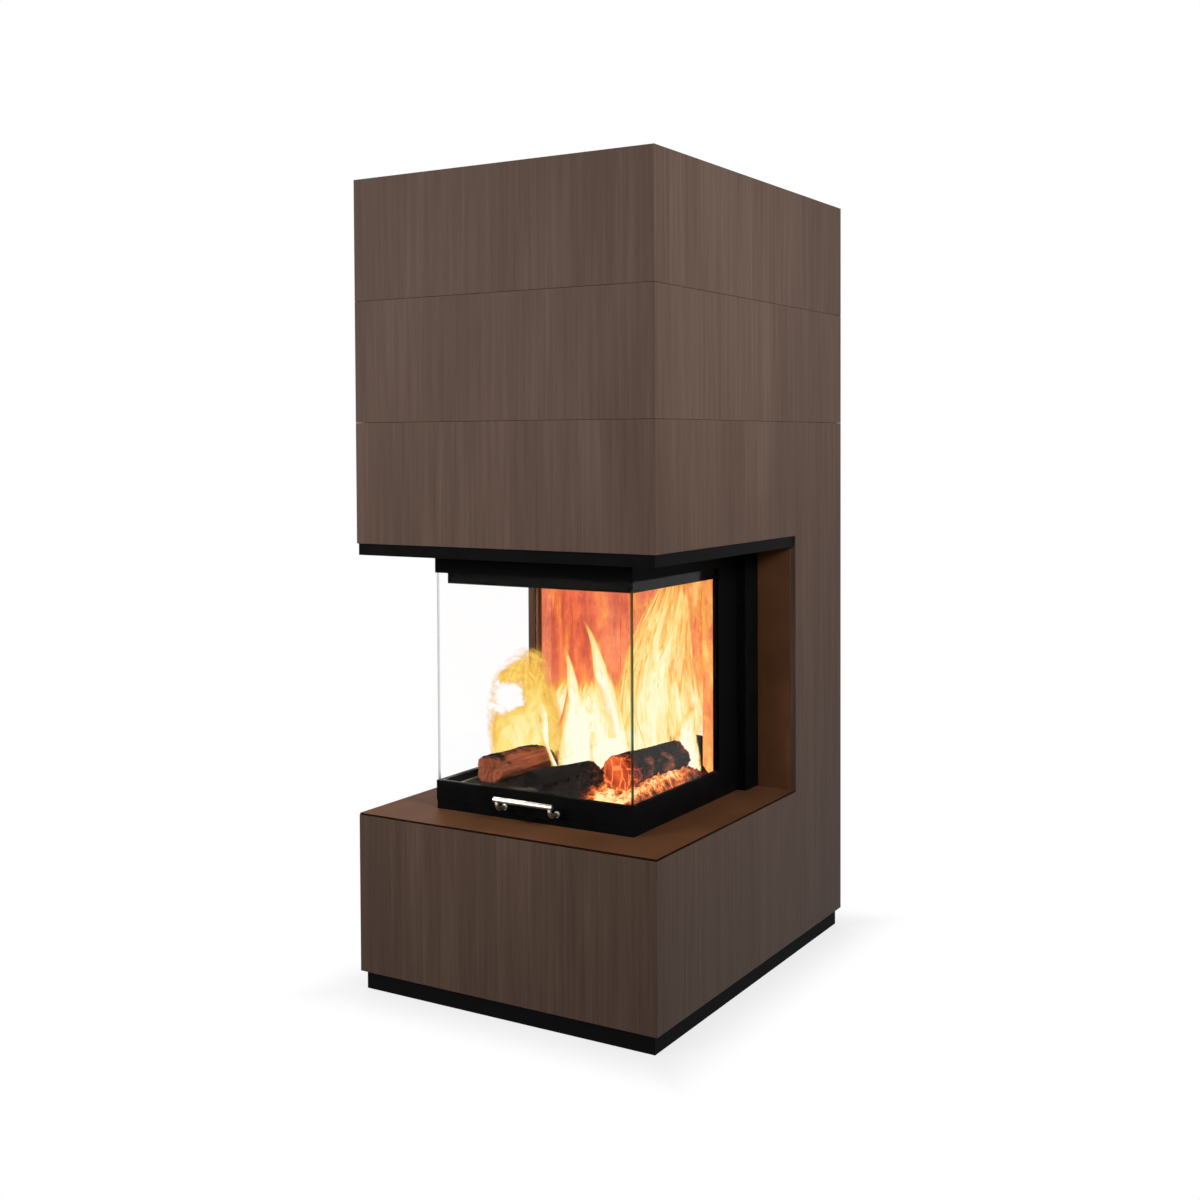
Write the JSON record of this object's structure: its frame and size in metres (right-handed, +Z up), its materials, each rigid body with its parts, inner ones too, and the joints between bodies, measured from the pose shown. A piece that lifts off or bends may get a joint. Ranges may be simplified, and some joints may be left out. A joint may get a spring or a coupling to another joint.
{
  "type": "wood fireplace",
  "caption": "Free-standing wood fireplace with a three-sided glass lift door between a clad pedestal and hood, carried by a rear column on a recessed plinth.",
  "frame": {"origin": "on the floor under the middle of the casing", "axes": "+Z up, +X to the right seen from the front, +Y to the back"},
  "size_m": [0.71, 0.905, 1.73],
  "materials": {
    "cladding": "satin",
    "board": "matte",
    "plinth_black": "matte",
    "brown_sheet": "satin",
    "black_steel": "satin",
    "flue_steel": "matte",
    "lining": "matte",
    "glass": "gloss",
    "handle_steel": "satin",
    "cast_iron": "matte",
    "rope": "satin",
    "seal": "matte",
    "log": "matte"
  },
  "bodies": {
    "root": {"air_duct": "flue_steel", "back_lining": "lining", "baffle_plate": "lining", "board_hood_front": "board", "board_left": "board", "board_pedestal_front": "board", "board_right": "board", "door_seal": "seal", "firebox_base": "black_steel", "firebox_shell": "black_steel", "floor_lining": "lining", "flue_pipe": "flue_steel", "guide_rail_left": "black_steel", "guide_rail_right": "black_steel", "hearth_shelf": "brown_sheet", "hood_soffit": "black_steel", "insert_legs": "black_steel", "log_front": "log", "log_left": "log", "log_rear": "log", "log_right": "log", "niche_panel_left": "brown_sheet", "niche_panel_right": "brown_sheet", "plinth": "plinth_black", "rear_panel": "board", "rope_door_runs": "rope", "rope_weight_runs": "rope", "rope_wraps": "rope", "side_lining_left": "lining", "side_lining_right": "lining", "slab_front_lower": "cladding", "slab_front_middle": "cladding", "slab_front_upper": "cladding", "slab_middle_left": "cladding", "slab_middle_right": "cladding", "slab_pedestal_front": "cladding", "slab_side_left": "cladding", "slab_side_right": "cladding", "slab_upper_left": "cladding", "slab_upper_right": "cladding", "smoke_dome": "black_steel", "top_cover": "board"},
    "door": {"door_bottom_rail": "black_steel", "door_top_rail": "black_steel", "front_glass": "glass", "left_glass": "glass", "right_glass": "glass", "door_stile_left": "black_steel", "door_stile_right": "black_steel", "door_handle": "handle_steel"},
    "lower_roller_left": {"lower_roller_left": "handle_steel"},
    "upper_roller_left": {"upper_roller_left": "handle_steel"},
    "lower_roller_right": {"lower_roller_right": "handle_steel"},
    "upper_roller_right": {"upper_roller_right": "handle_steel"},
    "lift_shaft": {"lift_shaft": "handle_steel", "pulley_left": "cast_iron", "pulley_right": "cast_iron"},
    "counterweight_left": {"counterweight_left": "cast_iron"},
    "counterweight_right": {"counterweight_right": "cast_iron"},
    "air_slide": {"air_slide": "black_steel"}
  },
  "joints": [
    {"name": "door_lift", "type": "slide", "parent": "root", "child": "door", "axis": [0, 0, 1], "range_m": [0, 0.43], "deforming": ["rope_door_runs"]},
    {"name": "lower_roller_left_turn", "type": "hinge", "parent": "door", "child": "lower_roller_left", "pos_m": [-0.25, 0.1572, 0.4315], "axis": [1, 0, 0], "range_deg": [-915, 0]},
    {"name": "upper_roller_left_turn", "type": "hinge", "parent": "door", "child": "upper_roller_left", "pos_m": [-0.25, 0.1572, 0.876], "axis": [1, 0, 0], "range_deg": [0, 915]},
    {"name": "lower_roller_right_turn", "type": "hinge", "parent": "door", "child": "lower_roller_right", "pos_m": [0.25, 0.1572, 0.4315], "axis": [1, 0, 0], "range_deg": [-915, 0]},
    {"name": "upper_roller_right_turn", "type": "hinge", "parent": "door", "child": "upper_roller_right", "pos_m": [0.25, 0.1572, 0.876], "axis": [1, 0, 0], "range_deg": [0, 915]},
    {"name": "shaft_turn", "type": "hinge", "parent": "root", "child": "lift_shaft", "pos_m": [0, 0.2222, 1.433], "axis": [1, 0, 0], "range_deg": [-380, 0]},
    {"name": "counterweight_left_drop", "type": "slide", "parent": "root", "child": "counterweight_left", "axis": [0, 0, 1], "range_m": [-0.43, 0], "deforming": ["rope_weight_runs"]},
    {"name": "counterweight_right_drop", "type": "slide", "parent": "root", "child": "counterweight_right", "axis": [0, 0, 1], "range_m": [-0.43, 0]},
    {"name": "air_slide_shift", "type": "slide", "parent": "root", "child": "air_slide", "axis": [1, 0, 0], "range_m": [-0.03, 0.03]}
  ],
  "couplings": [
    {"joint": "lower_roller_left_turn", "follows": "door_lift", "rad_per_m": -37.037},
    {"joint": "upper_roller_left_turn", "follows": "door_lift", "rad_per_m": 37.037},
    {"joint": "lower_roller_right_turn", "follows": "door_lift", "rad_per_m": -37.037},
    {"joint": "upper_roller_right_turn", "follows": "door_lift", "rad_per_m": 37.037},
    {"joint": "shaft_turn", "follows": "door_lift", "rad_per_m": -15.385},
    {"joint": "counterweight_left_drop", "follows": "door_lift", "ratio": -1},
    {"joint": "counterweight_right_drop", "follows": "door_lift", "ratio": -1}
  ]
}
